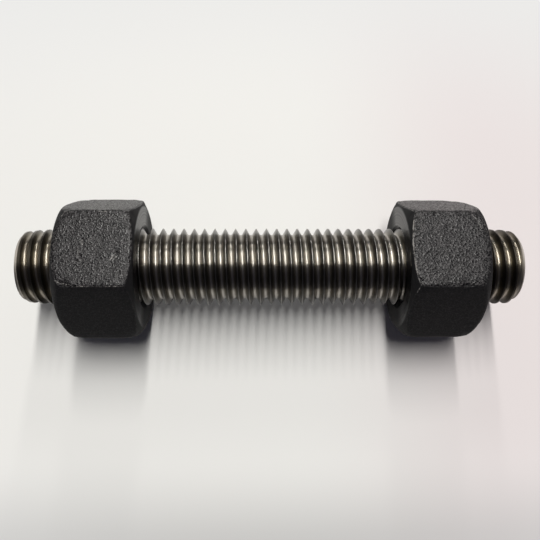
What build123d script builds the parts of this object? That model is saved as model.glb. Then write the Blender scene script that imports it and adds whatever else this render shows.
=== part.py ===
from build123d import *

import math
import os

# Double ended stud: a steel stud bolt threaded from end to end, with a heavy hex nut on each end.
#
# X runs along the stud and Z is up.  The origin is the middle of the stud's axis.  The stud lies as
# it comes to rest: it is carried by its two nuts, and each nut stands on one of its flats.
# Millimetres and degrees.

os.makedirs("parts", exist_ok=True)

# Stud: a 3/4 inch bar with ten right-hand threads to the inch
stud_length = 120.65
major_diameter = 18.90
pitch = 2.54
thread_depth = 1.65
crest_flat = 0.32
crest_station = 0.54  # where the middle of a crest lies straight below the axis
end_chamfer_length = 1.50
end_chamfer_angle = 45

# Heavy hex nuts
across_flats = 31.15
nut_height = 18.40
grip_length = 62.50  # between the nuts' inner faces
corner_rounding = 0.80
face_inset = 0.30  # from a flat in to the flat ring of a nut's face
outer_chamfer_angle = 40  # takes the corners off at the face away from the joint
bearing_chamfer_angle = 22  # and at the face that bears on the joint
countersink_depth = 0.80
countersink_angle = 45

# Fit
bore_clearance = 0.08  # between a nut's bore and the stud's crests, on the radius

# Worked out from those
major_radius = major_diameter / 2
minor_radius = major_radius - thread_depth
bore_radius = major_radius + bore_clearance
points_per_turn = 22
sides = 6
spare = 1.0  # how far a cutting profile stands proud of what it cuts


def tangent_of(angle):
    return math.tan(math.radians(angle))


def helix_turn(station, radius):
    """One right-hand turn about the X axis, starting straight above it."""
    step = 2 * math.pi / points_per_turn
    angles = [step * i for i in range(points_per_turn + 1)]
    points = [
        (station + pitch * a / (2 * math.pi), -radius * math.sin(a), radius * math.cos(a))
        for a in angles
    ]
    along = Vector(pitch / (2 * math.pi), -radius, 0).normalized()
    return Edge.make_spline(points, tangents=[along, along], scale=False)


def helical_strip(first, second):
    """The strip that the line between two points of the thread's outline sweeps in one turn."""
    return Face.make_surface_from_curves(helix_turn(*first), helix_turn(*second))


def thread_end(outline):
    """What closes the thread's start or its finish: a ramp round the axis and a flat step."""
    (left, root_radius), (right, _) = outline[0], outline[-1]
    axis_line = Edge.make_line((left, 0, 0), (right, 0, 0))
    ramp = Face.make_surface_from_curves(axis_line, helix_turn(left, root_radius))
    corners = [(left, 0, 0)] + [(x, 0, r) for x, r in outline] + [(right, 0, 0)]
    return [ramp, Face(Wire.make_polygon(corners))]


def threaded_bar(length):
    """A bar threaded over at least the length: each turn has a flank, a flat crest and a flank.

    Two flanks meet in a line at the root, at the depth of the real thread's rounded root.
    """
    turns = 2 * math.ceil(length / 2 / pitch + 1)
    start = crest_station - turns * pitch / 2
    outline = [
        (start, minor_radius),
        (start + (pitch - crest_flat) / 2, major_radius),
        (start + (pitch + crest_flat) / 2, major_radius),
        (start + pitch, minor_radius),
    ]
    one_turn = [helical_strip(a, b) for a, b in zip(outline, outline[1:])]
    faces = [face.moved(Pos(pitch * n, 0, 0)) for n in range(turns) for face in one_turn]
    finish = [(x + turns * pitch, r) for x, r in outline]
    return Solid(Shell(faces + thread_end(outline) + thread_end(finish)))


# The stud is one bar: threaded, then cut to length with its two ends chamfered
with BuildPart() as stud:
    add(threaded_bar(stud_length))
    end = stud_length / 2
    tip_radius = major_radius - end_chamfer_length * tangent_of(end_chamfer_angle)
    run_in = end_chamfer_length + spare / tangent_of(end_chamfer_angle)
    with BuildSketch(Plane.XY):
        with BuildLine():
            Polyline(
                (-end, 0),
                (-end, tip_radius),
                (-end + run_in, major_radius + spare),
                (end - run_in, major_radius + spare),
                (end, tip_radius),
                (end, 0),
                close=True,
            )
        make_face()
    revolve(axis=Axis.X, mode=Mode.INTERSECT, clean=False)
stud.part.label = "stud"
export_step(stud.part, "parts/stud.step")

# Each nut is one forging: a hexagon on a flat, turned to a section that bores and countersinks it
# and takes its corners off at both faces
for name, side in (("left_nut", -1), ("right_nut", 1)):
    bearing = side * grip_length / 2
    outer = bearing + side * nut_height
    face_radius = across_flats / 2 - face_inset
    outside = across_flats / 2 / math.cos(math.pi / sides) + spare
    bearing_fall = side * (outside - face_radius) * tangent_of(bearing_chamfer_angle)
    outer_fall = side * (outside - face_radius) * tangent_of(outer_chamfer_angle)
    sink = side * countersink_depth
    mouth_radius = bore_radius + countersink_depth * tangent_of(countersink_angle)
    with BuildPart() as nut:
        with BuildSketch(Plane.YZ.offset((bearing + outer) / 2)):
            RegularPolygon(across_flats / 2, sides, major_radius=False)
        extrude(amount=nut_height / 2, both=True)
        fillet(nut.edges().filter_by(Axis.X), corner_rounding)
        with BuildSketch(Plane.XY):
            with BuildLine():
                Polyline(
                    (bearing, mouth_radius),
                    (bearing, face_radius),
                    (bearing + bearing_fall, outside),
                    (outer - outer_fall, outside),
                    (outer, face_radius),
                    (outer, mouth_radius),
                    (outer - sink, bore_radius),
                    (bearing + sink, bore_radius),
                    close=True,
                )
            make_face()
        revolve(axis=Axis.X, mode=Mode.INTERSECT)
    nut.part.label = name
    export_step(nut.part, f"parts/{name}.step")
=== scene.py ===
import math

import bpy
import numpy as np
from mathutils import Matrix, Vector, noise


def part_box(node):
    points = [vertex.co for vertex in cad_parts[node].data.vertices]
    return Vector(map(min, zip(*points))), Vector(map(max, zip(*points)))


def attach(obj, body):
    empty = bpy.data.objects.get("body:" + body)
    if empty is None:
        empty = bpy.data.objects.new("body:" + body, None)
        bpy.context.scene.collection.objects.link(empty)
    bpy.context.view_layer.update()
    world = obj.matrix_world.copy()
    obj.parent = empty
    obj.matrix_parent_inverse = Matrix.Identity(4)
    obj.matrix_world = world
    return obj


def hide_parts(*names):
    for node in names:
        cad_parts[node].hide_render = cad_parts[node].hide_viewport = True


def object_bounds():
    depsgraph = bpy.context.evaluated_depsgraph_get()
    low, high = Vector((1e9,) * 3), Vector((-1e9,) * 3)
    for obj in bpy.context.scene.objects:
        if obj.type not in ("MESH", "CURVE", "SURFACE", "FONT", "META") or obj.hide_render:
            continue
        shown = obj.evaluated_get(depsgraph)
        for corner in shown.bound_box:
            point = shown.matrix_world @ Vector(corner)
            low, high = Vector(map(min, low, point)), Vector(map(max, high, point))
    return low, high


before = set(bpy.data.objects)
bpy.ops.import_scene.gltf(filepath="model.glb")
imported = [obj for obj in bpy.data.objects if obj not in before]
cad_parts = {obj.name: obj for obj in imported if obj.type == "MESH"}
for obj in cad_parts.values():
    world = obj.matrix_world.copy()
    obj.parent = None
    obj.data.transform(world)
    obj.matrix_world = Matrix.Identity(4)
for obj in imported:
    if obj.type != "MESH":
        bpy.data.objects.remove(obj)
cad_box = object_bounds()

# Camera: it looks steeply down from in front, so that the stud lies level across the picture and
# each nut shows its top flat, a foreshortened flat behind it and a dark one in front of it.
scene = bpy.context.scene
scene.view_settings.view_transform = "Standard"
camera_data = bpy.data.cameras.new("camera")
camera_data.lens = 39.8
camera_data.clip_start = 0.01
camera = bpy.data.objects.new("camera", camera_data)
camera.location = (-0.00405, -0.0408, 0.1429)
camera.rotation_euler = (math.radians(15.62), math.radians(-1.377), math.radians(-0.409))
scene.collection.objects.link(camera)
scene.camera = camera

# Bench: a wide white sheet that the two nuts stand on, with a rosy painted shade to the right.
# Round the object it takes light and shadow, and further off the eye sees a plain pale backdrop,
# under which the sheet carries a painted shadow towards the viewer, so that it throws little light
# up at the nuts.
bench_top = cad_box[0][2]
bench_reach = 3.0
sheet_white = (0.76, 0.762, 0.752, 1)
# Painted shadow: the sheet's tone towards the viewer, and the two stations on Y over which it
# darkens.
sheet_painted_shadow = (0.060, 0.059, 0.068, 1)
painted_shadow_reach = (-0.045, -0.090)
# Rosy painted shade that dims the sheet towards the right, and the stations on X over which it
# comes in.
rosy_painted_shade = (0.937, 0.876, 0.90, 1)
right_shade_reach = (0.005, 0.066)
backdrop_tone = (0.84, 0.835, 0.82, 1)
backdrop_oval = (0.5, 1, 0)
backdrop_reach = (0.045, 0.110)
metal_share = 0.06


def new_finish(name):
    """A new finish: its material, its node tree and its surface shader."""
    finish = bpy.data.materials.new(name)
    finish.use_nodes = True
    return finish, finish.node_tree, finish.node_tree.nodes["Principled BSDF"]


def add_node(tree, kind, settings=None, **sockets):
    """Adds a node. A socket takes a value, or another node's output to be linked to."""
    made = tree.nodes.new(kind)
    for name, value in (settings or {}).items():
        setattr(made, name, value)
    for name, value in sockets.items():
        socket = made.inputs[int(name[1:]) if name[1:].isdigit() else name.replace("_", " ")]
        if isinstance(value, bpy.types.NodeSocket):
            tree.links.new(value, socket)
        else:
            socket.default_value = value
    return made


def work_out(tree, operation, *values):
    """The result of a sum on numbers and other nodes' outputs."""
    terms = {f"_{count}": value for count, value in enumerate(values)}
    return add_node(tree, "ShaderNodeMath", {"operation": operation}, **terms).outputs[0]


def run_between(tree, value, start, end, at_start=0.0, at_end=1.0, easing="LINEAR"):
    """A level that runs from one number to another as a value goes from start to end."""
    return add_node(
        tree, "ShaderNodeMapRange", {"interpolation_type": easing},
        _0=value, _1=start, _2=end, _3=at_start, _4=at_end,
    ).outputs[0]


def mix_tones(tree, share, under, over, blending="MIX"):
    """One tone laid over another by a share."""
    return add_node(
        tree, "ShaderNodeMix", {"data_type": "RGBA", "blend_type": blending},
        _0=share, _6=under, _7=over,
    ).outputs[2]


def distance_out(tree, place, scaling):
    """How far a place is from the object's middle, with its three directions scaled first."""
    scaled = add_node(tree, "ShaderNodeVectorMath", {"operation": "MULTIPLY"}, _0=place, _1=scaling)
    length = add_node(tree, "ShaderNodeVectorMath", {"operation": "LENGTH"}, _0=scaled.outputs[0])
    return length.outputs["Value"]


def seen_share(tree, mirrored):
    """All of it where the eye looks straight, and a smaller share where metal mirrors it."""
    path = add_node(tree, "ShaderNodeLightPath").outputs
    return work_out(tree, "MULTIPLY_ADD", path["Is Glossy Ray"], mirrored, path["Is Camera Ray"])


def make_white_sheet():
    """The bench's finish: a dull white sheet near the object, with a rosy painted shade to the
    right and a painted shadow towards the viewer, and a plain backdrop beyond.
    """
    sheet, tree, shader = new_finish("white sheet")
    shader.inputs["Roughness"].default_value = 0.7
    shader.inputs["Specular IOR Level"].default_value = 0.2
    place = add_node(tree, "ShaderNodeTexCoord").outputs["Object"]
    along = add_node(tree, "ShaderNodeSeparateXYZ", _0=place).outputs
    # Painted shadow: the sheet darkens towards the viewer.
    shade = run_between(tree, along["Y"], *painted_shadow_reach, easing="SMOOTHSTEP")
    paper = mix_tones(tree, shade, sheet_white, sheet_painted_shadow)
    # Rosy painted shade towards the right.
    right_shade = run_between(tree, along["X"], *right_shade_reach, easing="SMOOTHSTEP")
    rosy = mix_tones(tree, right_shade, paper, rosy_painted_shade, "MULTIPLY")
    tree.links.new(rosy, shader.inputs["Base Color"])
    away = distance_out(tree, place, backdrop_oval)
    beyond = run_between(tree, away, *backdrop_reach, easing="SMOOTHSTEP")
    paleness = add_node(tree, "ShaderNodeEmission", Color=backdrop_tone, Strength=1.0)
    share = work_out(tree, "MULTIPLY", seen_share(tree, metal_share), beyond)
    blend = add_node(
        tree, "ShaderNodeMixShader", _0=share, _1=shader.outputs[0], _2=paleness.outputs[0]
    )
    tree.links.new(blend.outputs[0], tree.nodes["Material Output"].inputs["Surface"])
    return sheet


bpy.ops.object.select_all(action="DESELECT")
bpy.ops.mesh.primitive_plane_add(size=2 * bench_reach, location=(0, 0, bench_top))
bench = bpy.context.object
bench.name = "bench"
bpy.ops.object.transform_apply(location=True)
bench.data.materials.append(make_white_sheet())

# Light: two ceiling tubes, the near one level overhead and the far one facing the bench, and a
# room that is pale behind and above and dark in front, where the lower half of the stud mirrors
# it. The tubes are narrow, so that shadows have crisp sides and the thread's roots glint.
tube_width = 0.10
tube_aside = 0.077
tube_colour = (1.0, 0.98, 0.94)
room_dark = (0.046, 0.045, 0.057, 1)
room_pale = (0.17, 0.168, 0.166, 1)
for name, back, height, length, tilt, power in (
    ("near tube", 0.7447, 1.80, 1.8677, 0.0, 44.5),
    ("far tube", 1.7740, 0.9235, 0.6694, 62.5, 7.0),
):
    tube_data = bpy.data.lights.new(name, "AREA")
    tube_data.shape = "RECTANGLE"
    tube_data.size = tube_width
    tube_data.size_y = length
    tube_data.energy = power
    tube_data.color = tube_colour
    tube = bpy.data.objects.new(name, tube_data)
    tube.location = (tube_aside, back, height)
    tube.rotation_euler = (-math.radians(tilt), 0, 0)
    scene.collection.objects.link(tube)

room = bpy.data.worlds.new("room")
room.use_nodes = True
scene.world = room
tree = room.node_tree
looking = add_node(tree, "ShaderNodeTexCoord").outputs["Generated"]
toward = add_node(tree, "ShaderNodeSeparateXYZ", _0=looking).outputs
behind = run_between(tree, toward["Y"], 0.0, 0.5)
above = run_between(tree, toward["Z"], 0.15, 0.45)
walls = mix_tones(tree, work_out(tree, "MULTIPLY", behind, above), room_dark, room_pale)
low_down = run_between(tree, toward["Z"], 0.25, 0.08, 0.0, metal_share)
scenery = mix_tones(tree, seen_share(tree, low_down), walls, backdrop_tone)
tree.links.new(scenery, tree.nodes["Background"].inputs["Color"])

# Stud: one bar of bright steel, oiled, with a right-hand thread rolled from end to end. Both ends
# are turned down, the left one deeper, so that the last turns lose their crests. Each end's
# profile is in millimetres: how far in from the end, and how far below the crests.
mm = 0.001
pitch = 2.54 * mm
root_station = 0.535 * mm
thread_depth = 1.56 * mm
flank_angle = math.radians(30)
crest_flat = 0.13 * mm
crest_round = 0.05 * mm
half_length = (cad_box[1][0] - cad_box[0][0]) / 2
crest_radius = (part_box("stud")[1][2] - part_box("stud")[0][2]) / 2
left_profile = ((0.0, 1.50), (0.75, 0.75), (3.5, 0.45), (7.0, 0.20), (18.0, -1.0))
right_profile = ((0.0, 1.50), (1.20, 0.30), (4.0, 0.16), (9.0, 0.06), (18.0, -1.0))
root_points, crest_points = 5, 4
bar_sides = 72
end_sides = 144
crease_angle = math.radians(35)
# Painted highlights and shade, by height in the thread from root to crest: bright in the roots,
# dark on the flanks, bright again on the crests.
painted_glint_tones = (
    (0.04, (0.36, 0.339, 0.308, 1)),
    (0.16, (0.26, 0.242, 0.211, 1)),
    (0.42, (0.125, 0.113, 0.096, 1)),
    (0.94, (0.090, 0.085, 0.080, 1)),
    (0.985, (0.22, 0.212, 0.20, 1)),
)
bronze_cast = (0.80, 0.76, 0.67, 1)
bronze_start, bronze_full = half_length - 14 * mm, half_length - 6 * mm
bronze_strength = 0.8
sawn_tone = (0.46, 0.43, 0.39, 1)
sawn_start, sawn_full = half_length - 1.0 * mm, half_length - 0.7 * mm
thread_roughness, sawn_roughness = 0.31, 0.6


def thread_outline(tip_radius, flat, rounding):
    """One pitch of a thread's outline, from the middle of a root to the middle of the next."""
    edge = (pitch - flat) / 2
    lean, rise = math.cos(flank_angle), math.sin(flank_angle)
    root_round = (lean * edge - rise * thread_depth) / (1 - rise)
    root_centre = tip_radius - thread_depth + root_round
    crest_centre = edge + rounding * math.tan(flank_angle)
    half = []
    for turn in np.linspace(-math.pi / 2, -flank_angle, root_points):
        half.append((root_round * math.cos(turn), root_centre + root_round * math.sin(turn)))
    for turn in np.linspace(math.pi - flank_angle, math.pi / 2, crest_points):
        height = tip_radius - rounding + rounding * math.sin(turn)
        half.append((crest_centre + rounding * math.cos(turn), height))
    return half + [(pitch - x, height) for x, height in reversed(half)]


def wind_thread(name, outline, start, stop):
    """A closed bar, threaded past both of two stations on the X axis, then cut off at them."""
    touching = pitch / 1000
    on_the_plane = 1e-7
    first_turn = math.floor((start - root_station) / pitch) - 1
    corner = (root_station + first_turn * pitch + outline[0][0], 0, outline[0][1])
    bpy.ops.object.select_all(action="DESELECT")
    bpy.ops.mesh.primitive_plane_add(size=mm, location=corner)
    bar = bpy.context.object
    bar.name = name
    bpy.ops.object.transform_apply(location=True)
    bpy.ops.object.mode_set(mode="EDIT")
    bpy.ops.mesh.merge(type="CENTER")
    for (x0, r0), (x1, r1) in zip(outline, outline[1:]):
        step = (x1 - x0, 0, r1 - r0)
        bpy.ops.mesh.extrude_vertices_move(TRANSFORM_OT_translate={"value": step})
    bpy.ops.object.mode_set(mode="OBJECT")
    winding = bar.modifiers.new("winding", "SCREW")
    winding.axis = "X"
    winding.angle = 2 * math.pi
    winding.screw_offset = pitch
    winding.iterations = math.ceil((stop - start) / pitch) + 3
    winding.steps = winding.render_steps = bar_sides
    winding.use_merge_vertices = True
    winding.merge_threshold = touching
    bpy.ops.object.modifier_apply(modifier=winding.name)
    bpy.ops.object.mode_set(mode="EDIT")
    bpy.ops.mesh.select_all(action="SELECT")
    bpy.ops.mesh.remove_doubles(threshold=touching)
    for station, outward in ((start, -1), (stop, 1)):
        bpy.ops.mesh.select_all(action="SELECT")
        bpy.ops.mesh.bisect(
            plane_co=(station, 0, 0), plane_no=(outward, 0, 0), use_fill=True, clear_outer=True,
            threshold=on_the_plane,
        )
    bpy.ops.mesh.select_all(action="SELECT")
    bpy.ops.mesh.normals_make_consistent(inside=False)
    bpy.ops.object.mode_set(mode="OBJECT")
    return bar


def turn_blank(name, stations, sides):
    """A turned bar along X through a list of (station, radius) pairs."""
    start, first_radius = stations[0]
    bpy.ops.object.select_all(action="DESELECT")
    bpy.ops.mesh.primitive_circle_add(
        vertices=sides, radius=first_radius, fill_type="NGON",
        location=(start, 0, 0), rotation=(0, math.pi / 2, 0),
    )
    blank = bpy.context.object
    blank.name = name
    bpy.ops.object.transform_apply(location=True, rotation=True)
    bpy.ops.object.mode_set(mode="EDIT")
    bpy.ops.mesh.select_all(action="SELECT")
    for (x0, r0), (x1, r1) in zip(stations, stations[1:]):
        bpy.ops.mesh.extrude_region_move(TRANSFORM_OT_translate={"value": (x1 - x0, 0, 0)})
        bpy.ops.transform.resize(value=(1, r1 / r0, r1 / r0))
    bpy.ops.mesh.select_all(action="SELECT")
    bpy.ops.mesh.normals_make_consistent(inside=False)
    bpy.ops.object.mode_set(mode="OBJECT")
    return blank


def turned_end(profile):
    """The (station, radius) pairs of an end, from its (inboard, drop) pairs in millimetres."""
    return [(half_length - inboard * mm, crest_radius - drop * mm) for inboard, drop in profile]


def machine(piece, tool, operation):
    """Cuts a piece with a tool, or keeps what lies inside it, and puts the tool away."""
    cut = piece.modifiers.new("cut", "BOOLEAN")
    cut.operation = operation
    cut.solver = "EXACT"
    cut.object = tool
    bpy.ops.object.select_all(action="DESELECT")
    bpy.context.view_layer.objects.active = piece
    piece.select_set(True)
    bpy.ops.object.modifier_apply(modifier=cut.name)
    bpy.data.objects.remove(tool)


def grade_tones(tree, value, stops):
    """A tone for each level of a value, from (level, tone) pairs in rising order."""
    grading = add_node(tree, "ShaderNodeValToRGB", Fac=value)
    marks = grading.color_ramp.elements
    marks[0].position, marks[0].color = stops[0]
    marks[1].position, marks[1].color = stops[-1]
    for level, tone in stops[1:-1]:
        marks.new(level).color = tone
    return grading.outputs[0]


def mix_levels(tree, share, under, over):
    """One level taken over by another by a share."""
    return add_node(
        tree, "ShaderNodeMix", {"data_type": "FLOAT"}, _0=share, _2=under, _3=over
    ).outputs[0]


def make_oiled_steel():
    """Painted highlights in the thread's roots and on its crests, painted shade on its flanks,
    bronzed and sawn at the ends.
    """
    steel, tree, shader = new_finish("oiled steel")
    place = add_node(tree, "ShaderNodeTexCoord").outputs["Object"]
    radius = distance_out(tree, place, (0, 1, 1))
    height = run_between(tree, radius, crest_radius - thread_depth, crest_radius)
    # Painted highlights in the roots and on the crests, painted shade on the flanks.
    painted_glints = grade_tones(tree, height, painted_glint_tones)
    station = add_node(tree, "ShaderNodeSeparateXYZ", _0=place).outputs["X"]
    outboard = work_out(tree, "ABSOLUTE", station)
    bronzing = run_between(tree, outboard, bronze_start, bronze_full, 0.0, bronze_strength)
    bronzed = mix_tones(tree, bronzing, painted_glints, bronze_cast, "MULTIPLY")
    sawn = run_between(tree, outboard, sawn_start, sawn_full)
    tone = mix_tones(tree, sawn, bronzed, sawn_tone)
    tree.links.new(tone, shader.inputs["Base Color"])
    roughness = mix_levels(tree, sawn, thread_roughness, sawn_roughness)
    tree.links.new(roughness, shader.inputs["Roughness"])
    lay = add_node(tree, "ShaderNodeTangent", {"direction_type": "RADIAL", "axis": "X"})
    tree.links.new(lay.outputs[0], shader.inputs["Tangent"])
    shader.inputs["Metallic"].default_value = 1.0
    shader.inputs["Anisotropic"].default_value = 0.7
    shader.inputs["Anisotropic Rotation"].default_value = 0.25
    return steel


outline = thread_outline(crest_radius, crest_flat, crest_round)
stud = wind_thread("threaded_stud", outline, -half_length - mm, half_length + mm)
left_end = [(-station, radius) for station, radius in turned_end(left_profile)]
right_end = turned_end(right_profile)[::-1]
machine(stud, turn_blank("ends", left_end + right_end, end_sides), "INTERSECT")
bpy.ops.object.shade_smooth_by_angle(angle=crease_angle)
evening = stud.modifiers.new("evening", "WEIGHTED_NORMAL")
evening.keep_sharp = True
bpy.ops.object.modifier_apply(modifier=evening.name)
stud.data.materials.clear()
stud.data.materials.append(make_oiled_steel())
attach(stud, "stud")
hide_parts("stud")

# Nuts: heavy hexagons, hot forged and blackened, turned on both faces so that their corners are
# taken off, and tapped to run on the stud's thread. Their flats keep the forging's pitted grain,
# with bright wear along the upper edges, a few scuffs on top and nicks in the front edge. The two
# front flats are darkened as painted shade.
half_across = (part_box("left_nut")[1][2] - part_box("left_nut")[0][2]) / 2
corner_radius = half_across / math.cos(math.pi / 6)
flat_angles = np.radians(30 + 60 * np.arange(6))
outer_face = (half_across - 0.30 * mm, math.tan(math.radians(40)))
bearing_face = (half_across - 0.80 * mm, math.tan(math.radians(22)))
chamfer_sides = 160
drill_sides = 120
corner_bevel = 0.46 * mm
tap_clearance = 0.12 * mm
tap_flat = 0.32 * mm
tap_round = 0.06 * mm
drill_radius = crest_radius - 1.30 * mm
mouth_radius = crest_radius + 0.88 * mm
grain_voxel = 0.25 * mm
flat_depth = 0.35 * mm
flat_blend = 0.20 * mm
chamfer_blend = 0.30 * mm
swell_size, swell_height = 3.0 * mm, 0.050 * mm
grit_size, grit_height = 0.75 * mm, 0.030 * mm
bite_size, bite_depth = 1.1 * mm, 0.60 * mm
scale_loss = 0.06 * mm
edge_softness = 0.22 * mm
edge_depth = 0.5 * mm
corner_drop = 0.40 * mm
corner_reach = 1.20 * mm
nick_depth, nick_length, nick_width = 0.45 * mm, 0.55 * mm, 0.8 * mm
wear_reach = 0.60 * mm
patch_size = 2.5 * mm
scuff_width = 0.30 * mm
scuff_strength = 1.15
front_grain = 0.15
# Painted shade on the front flats, as a share of the soot black.
front_painted_shade = 0.8
grain_scale = 1850.0
relief_scale = 2400.0
relief_depth = 0.18 * mm
speck_scale = 2200.0
toolmark_scale = 2600.0
pit_tone = (0.003, 0.0027, 0.0034, 1)
ridge_tone = (0.082, 0.077, 0.079, 1)
# Soot black of the turned faces and dimmed flats, also used as the painted shade of the front
# flats.
soot_and_shade_tone = (0.0028, 0.0026, 0.0036, 1)
bare_tone = (0.22, 0.21, 0.20, 1)
grain_roughness = (0.55, 0.27)
turned_roughness = (0.38, 0.27)
soot_roughness = 0.75


def make_blackened_forging():
    """Pale ridges round dark pits on the flats, tool rings on turned faces, soot black where turned
    or matt, which on the front flats is painted shade, bare where worn.
    """
    blackened, tree, shader = new_finish("blackened forging")
    place = add_node(tree, "ShaderNodeTexCoord").outputs["Object"]
    grained, edge, matt, turned, fineness = (
        add_node(tree, "ShaderNodeAttribute", {"attribute_name": label}).outputs["Fac"]
        for label in ("grained", "edge", "matt", "turned", "fineness")
    )
    spread = add_node(
        tree, "ShaderNodeVectorMath", {"operation": "SCALE"}, _0=place, Scale=fineness
    ).outputs[0]
    pits = add_node(tree, "ShaderNodeTexNoise", Vector=spread, Scale=grain_scale, Detail=1.0)
    ridges = grade_tones(
        tree, pits.outputs["Fac"], ((0.44, pit_tone), (0.50, ridge_tone), (0.56, pit_tone))
    )
    black = work_out(tree, "MAXIMUM", matt, turned)
    # Soot black; on the front flats it is painted shade.
    sooted_and_shaded = mix_tones(tree, black, ridges, soot_and_shade_tone)
    specks = add_node(
        tree, "ShaderNodeTexNoise", Vector=place, Scale=speck_scale, Detail=4.0, Roughness=0.7
    )
    rubbed = work_out(tree, "MULTIPLY", specks.outputs["Fac"], edge)
    bared = mix_tones(tree, run_between(tree, rubbed, 0.47, 0.57), sooted_and_shaded, bare_tone)
    tree.links.new(bared, shader.inputs["Base Color"])
    relief = add_node(
        tree, "ShaderNodeTexNoise", Vector=spread, Scale=relief_scale, Detail=1.0
    ).outputs["Fac"]
    sheen = run_between(tree, relief, 0.40, 0.60, *grain_roughness)
    rings = add_node(
        tree, "ShaderNodeTexNoise", {"noise_dimensions": "1D"},
        W=distance_out(tree, place, (0, 1, 1)), Scale=toolmark_scale, Detail=2.0,
    )
    toolmarks = run_between(tree, rings.outputs["Fac"], 0.3, 0.7, *turned_roughness)
    smooth = mix_levels(tree, turned, sheen, toolmarks)
    roughness = mix_levels(tree, matt, smooth, soot_roughness)
    tree.links.new(roughness, shader.inputs["Roughness"])
    bump = add_node(
        tree, "ShaderNodeBump", Strength=grained, Distance=relief_depth, Height=relief
    )
    tree.links.new(bump.outputs[0], shader.inputs["Normal"])
    shader.inputs["Specular IOR Level"].default_value = 0.3
    return blackened


def machine_nut(name, low, high, low_face, high_face):
    """A hexagon between two stations: turned on both faces, drilled, tapped, evenly gridded."""
    (low_radius, low_slope), (high_radius, high_slope) = low_face, high_face
    bpy.ops.object.select_all(action="DESELECT")
    bpy.ops.mesh.primitive_cylinder_add(
        vertices=6, radius=corner_radius, depth=high - low,
        location=((low + high) / 2, 0, 0), rotation=(0, math.pi / 2, 0),
    )
    nut = bpy.context.object
    nut.name = name
    bpy.ops.object.transform_apply(location=True, rotation=True)
    bpy.ops.object.mode_set(mode="EDIT")
    bpy.ops.mesh.select_all(action="DESELECT")
    bpy.ops.object.mode_set(mode="OBJECT")
    for side in nut.data.edges:
        ends = [nut.data.vertices[i].co.x for i in side.vertices]
        side.select = abs(ends[0] - ends[1]) > mm
    bpy.ops.object.mode_set(mode="EDIT")
    bpy.ops.mesh.select_mode(type="EDGE")
    bpy.ops.mesh.bevel(offset=corner_bevel, segments=4, affect="EDGES")
    bpy.ops.object.mode_set(mode="OBJECT")
    outside = corner_radius + mm
    machine(nut, turn_blank("chamfering", [
        (low, low_radius), (low + (outside - low_radius) * low_slope, outside),
        (high - (outside - high_radius) * high_slope, outside), (high, high_radius),
    ], chamfer_sides), "INTERSECT")
    sink = mouth_radius - drill_radius
    machine(nut, turn_blank("drill", [
        (low - mm, mouth_radius + mm), (low + sink, drill_radius),
        (high - sink, drill_radius), (high + mm, mouth_radius + mm),
    ], drill_sides), "DIFFERENCE")
    tap_outline = thread_outline(crest_radius + tap_clearance, tap_flat + tap_clearance, tap_round)
    machine(nut, wind_thread("tap", tap_outline, low - mm, high + mm), "DIFFERENCE")
    gridding = nut.modifiers.new("gridding", "REMESH")
    gridding.mode = "VOXEL"
    gridding.voxel_size = grain_voxel
    gridding.use_smooth_shade = True
    bpy.ops.object.modifier_apply(modifier=gridding.name)
    return nut


def read_points(mesh, label):
    """Three numbers for each point of a mesh, such as its place or its normal."""
    numbers = np.empty(len(mesh.vertices) * 3)
    mesh.vertices.foreach_get(label, numbers)
    return numbers.reshape(-1, 3)


def mottle(place, size, shift):
    """A smooth random pattern at each place, about -1 to 1, with lumps of one size."""
    return np.array([noise.noise(Vector(point) / size + Vector(shift)) for point in place])


def fall_off(distance, reach):
    """A round bump: 1 at no distance, and almost nothing at twice the reach."""
    return np.exp(-(distance / reach) ** 2)


def rub_edges(place, to_corner, to_low, to_high, wear, seed):
    """Patchy wear, strongest on the edges of the upper flats, by which edge is nearest."""
    low_wear, high_wear, front_wear, back_wear = wear
    nearest = np.minimum(to_corner, np.minimum(to_low, to_high))
    rubbing = np.select(
        [nearest == to_low, nearest == to_high, place[:, 1] < 0],
        [low_wear, high_wear, front_wear], back_wear,
    )
    upper = np.interp(place[:, 2] / half_across, (0.7, 0.95), (0.25, 1))
    patches = 1 + 0.5 * mottle(place, patch_size, (0, 0, seed))
    return np.exp(-np.clip(nearest, 0, None) / wear_reach) * rubbing * upper * patches


def scuff_top(place, scuffs):
    """Rubbed lines across the top flat, each from one (x, y) to another, in millimetres."""
    on_top = place[:, 2] > half_across - edge_depth
    rubbed = np.zeros(len(place))
    for x0, y0, x1, y1 in scuffs:
        start, stroke = np.array((x0, y0)) * mm, np.array((x1 - x0, y1 - y0)) * mm
        share = np.clip((place[:, :2] - start) @ stroke / (stroke @ stroke), 0, 1)
        gap = np.linalg.norm(place[:, :2] - start - share[:, None] * stroke, axis=1)
        rubbed = np.maximum(rubbed, scuff_strength * fall_off(gap, scuff_width) * on_top)
    return rubbed


def round_over(reach, low_chamfer, high_chamfer):
    """How far points sink near an edge, and further near a corner where three faces meet."""
    past = np.sort(np.column_stack([reach - half_across, low_chamfer, high_chamfer]), axis=1)
    first, second, third = past[:, -1], past[:, -2], past[:, -3]
    sunk = edge_softness * np.log1p(np.exp((second - first) / edge_softness))
    sunk += corner_drop * fall_off(first - third, corner_reach)
    return sunk * np.clip(1 + first / edge_depth, 0, 1)


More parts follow.
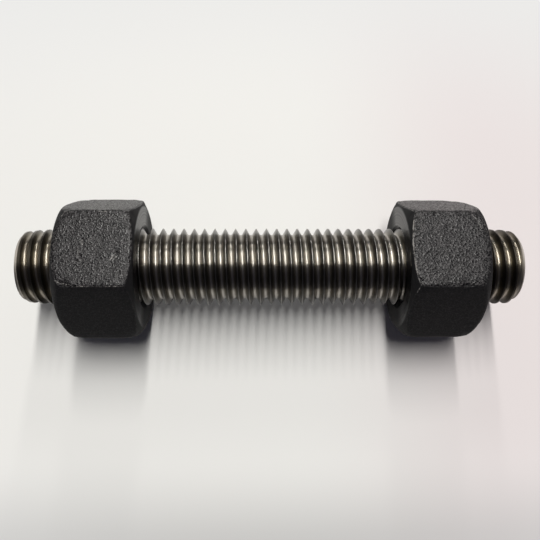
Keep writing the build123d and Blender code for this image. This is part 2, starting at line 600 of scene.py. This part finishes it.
def forge_nut(name, seed, wear, coarseness, fineness, soot, scuffs, nicks):
    """One nut, where its CAD node is. Wear is for the low, high, front and back edges of a flat,
    coarseness is how deep the grain is and fineness how small, soot dims the top and bottom flats,
    and nicks are stations along the top flat's front edge, in millimetres. The front flats are
    darkened as painted shade."""
    low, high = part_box(name)[0][0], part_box(name)[1][0]
    middle = (low + high) / 2
    faces = (outer_face, bearing_face) if middle < 0 else (bearing_face, outer_face)
    (low_radius, low_slope), (high_radius, high_slope) = faces
    nut = machine_nut("forged_" + name, low, high, *faces)

    place = read_points(nut.data, "co")
    outward = read_points(nut.data, "normal")
    radius = np.hypot(place[:, 1], place[:, 2])
    reach = place[:, 1:2] * np.cos(flat_angles) + place[:, 2:3] * np.sin(flat_angles)
    ordered = np.sort(reach, axis=1)
    facing_back = np.cos(flat_angles)[reach.argmax(axis=1)]
    to_corner = (ordered[:, -1] - ordered[:, -2]) / math.cos(math.pi / 6)
    to_low = place[:, 0] - low - (radius - low_radius) * low_slope
    to_high = high - place[:, 0] - (radius - high_radius) * high_slope

    forged = np.clip((ordered[:, -1] - half_across + flat_depth) / flat_blend, 0, 1)
    turned = 1 - forged
    grained = coarseness * forged * np.where(facing_back < -0.5, front_grain, 1)
    turned_radius = np.where(place[:, 0] < middle, low_radius, high_radius)
    chamfered = turned * np.clip((radius - turned_radius) / chamfer_blend, 0, 1)
    # The front flats take painted shade; the top and bottom flats take the nut's own soot.
    soot_and_painted_shade = forged * np.select([facing_back < -0.5, facing_back < 0.5], [front_painted_shade, soot], 0)
    underneath = turned * np.interp(place[:, 2], (-2.1 * mm, 3.0 * mm), (0.85, 0))
    matt = np.maximum(np.maximum(chamfered, soot_and_painted_shade), underneath)
    rubbed = forged * rub_edges(place, to_corner, to_low, to_high, wear, seed)
    edge = np.maximum(rubbed, scuff_top(place, scuffs))

    sunk = round_over(
        reach, -to_low / math.hypot(1, low_slope), -to_high / math.hypot(1, high_slope)
    )
    top_front = (place[:, 1] < 0) & (place[:, 2] > half_across / 2)
    front_edge = top_front * fall_off(to_corner, nick_width)
    for station in nicks:
        sunk += nick_depth * front_edge * fall_off(place[:, 0] - station * mm, nick_length)
    swells = swell_height * mottle(place, swell_size, (seed, 0, 0))
    grit = grit_height * mottle(place, grit_size, (0, seed, 0))
    bites = bite_depth * edge * np.maximum(0, mottle(place, bite_size, (seed, seed, 0)))
    lift = (swells + grit - bites - scale_loss) * (0.15 + 0.85 * grained)
    place += outward * (lift - sunk)[:, None]
    nut.data.vertices.foreach_set("co", place.ravel())
    for label, values in (
        ("grained", grained), ("edge", edge), ("matt", matt), ("turned", turned),
        ("fineness", np.full(len(place), fineness)),
    ):
        nut.data.attributes.new(label, "FLOAT", "POINT").data.foreach_set("value", values)
    nut.data.update()
    nut.data.materials.clear()
    nut.data.materials.append(blackened)
    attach(nut, name)
    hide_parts(name)


blackened = make_blackened_forging()
forge_nut(
    "left_nut", seed=3.7, wear=(0.9, 0.85, 1.05, 0.85), coarseness=0.8, fineness=1.0, soot=0.0,
    scuffs=(
        (-43.5, 0.1, -43.15, -1.6), (-43.15, -1.6, -42.45, -3.1), (-42.65, 1.85, -42.45, 0.3),
        (-36.2, -2.9, -34.95, -1.2), (-35.6, -3.1, -34.6, -1.9), (-39.4, 8.6, -37.4, 8.6),
        (-42.2, 7.0, -41.5, 7.0), (-49.5, -5.0, -48.8, -7.4), (-48.8, -7.4, -44.7, -8.5),
    ),
    nicks=(-47.2, -46.0),
)
forge_nut(
    "right_nut", seed=11.2, wear=(1.35, 0.8, 0.6, 0.75), coarseness=1.2, fineness=0.80, soot=0.12,
    scuffs=((45.6, 8.3, 47.0, 6.4), (47.0, 6.4, 47.6, 4.6)),
    nicks=(42.5, 43.3),
)
